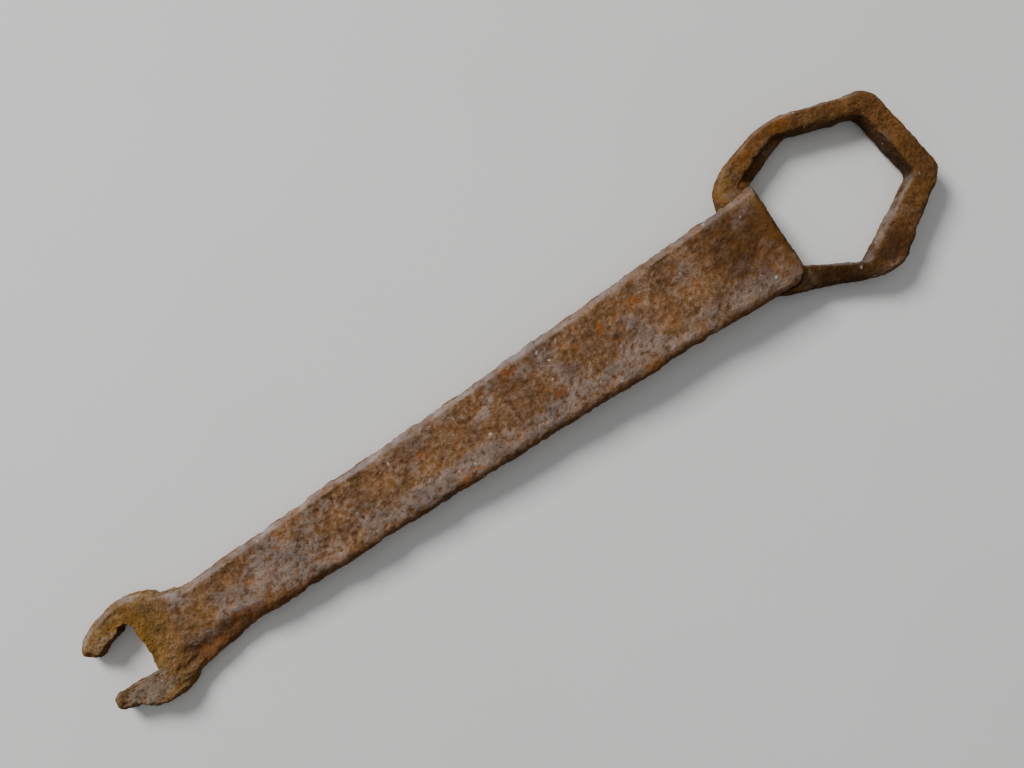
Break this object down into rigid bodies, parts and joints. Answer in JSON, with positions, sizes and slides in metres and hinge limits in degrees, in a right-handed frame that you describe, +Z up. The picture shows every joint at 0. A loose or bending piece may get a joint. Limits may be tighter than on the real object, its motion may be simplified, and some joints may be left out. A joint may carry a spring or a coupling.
{
  "type": "combination wrench",
  "caption": "Hand-forged combination wrench: a bent-strap hexagon ring at one end, a hooked open jaw at the other and a tapered flat shank between them.",
  "frame": {"origin": "centre of the hexagon opening, on the plane that the wrench lies on", "axes": "+X from the jaw towards the ring's far side, +Y across the shank towards the jaw's hooked upper horn, +Z up out of the plane it lies on"},
  "size_m": [0.3685, 0.0722, 0.0164],
  "materials": {
    "shank_iron": "forged wrought iron, heavily rusted and pitted, red-brown with grey worn highlights",
    "ring_iron": "forged wrought iron, heavily rusted, orange-brown, grey scale inside the opening",
    "head_iron": "forged wrought iron, heavily rusted, yellow-brown"
  },
  "bodies": {
    "root": {"shank": "shank_iron", "hex_ring": "ring_iron", "open_jaw_head": "head_iron"}
  },
  "joints": []
}
